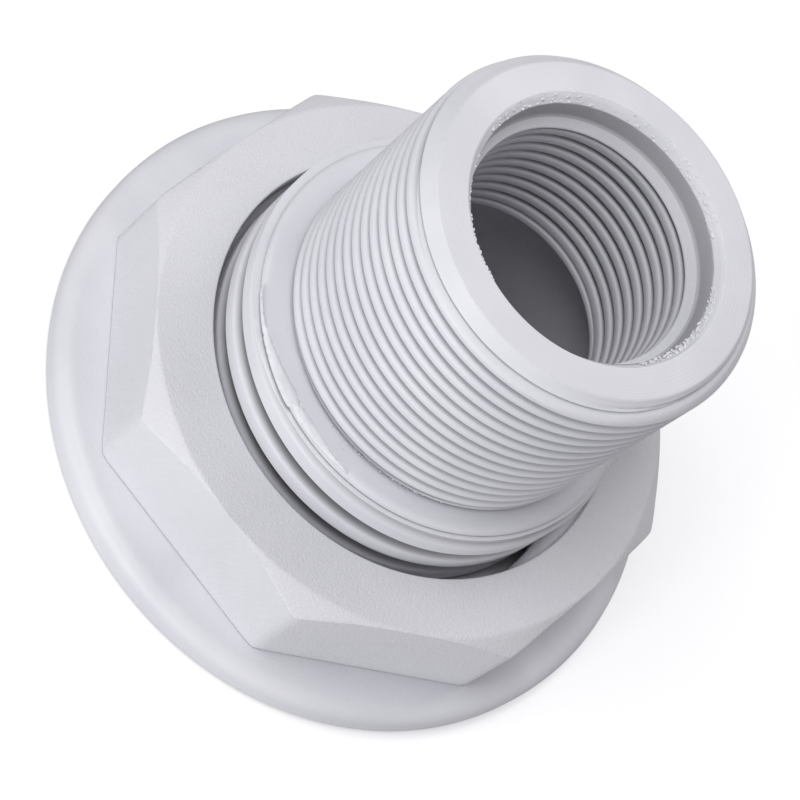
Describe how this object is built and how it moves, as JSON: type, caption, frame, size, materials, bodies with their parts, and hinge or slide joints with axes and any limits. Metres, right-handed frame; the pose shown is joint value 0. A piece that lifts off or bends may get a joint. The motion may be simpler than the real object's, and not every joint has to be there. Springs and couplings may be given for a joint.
{
  "type": "tank connector",
  "caption": "Round-flanged plastic tank connector with a threaded spigot, a threaded through bore and an octagonal back nut on a coarse left-hand barrel thread.",
  "frame": {"origin": "centre of the flange's outer face, the one the part stands on", "axes": "+Z along the part's axis from the flange towards the pipe end; +X square to a flat of the tightened nut, to within a degree"},
  "size_m": [0.0896, 0.0896, 0.065],
  "materials": {
    "connector_plastic": "satin",
    "nut_plastic": "fine grained satin",
    "washer_rubber": "matte"
  },
  "bodies": {
    "connector": {"connector_body": "connector_plastic"},
    "washer": {"sealing_washer": "washer_rubber"},
    "nut": {"back_nut": "nut_plastic"}
  },
  "joints": [
    {"name": "nut_travel", "type": "slide", "parent": "connector", "child": "washer", "axis": [0, 0, 1], "range_m": [0, 0.01525]},
    {"name": "nut_turn", "type": "hinge", "parent": "washer", "child": "nut", "pos_m": [0, 0, 0.0126], "axis": [0, 0, -1], "range_deg": [0, 1080]}
  ],
  "couplings": [
    {"joint": "nut_travel", "follows": "nut_turn", "m_per_rad": 0.00080851}
  ]
}
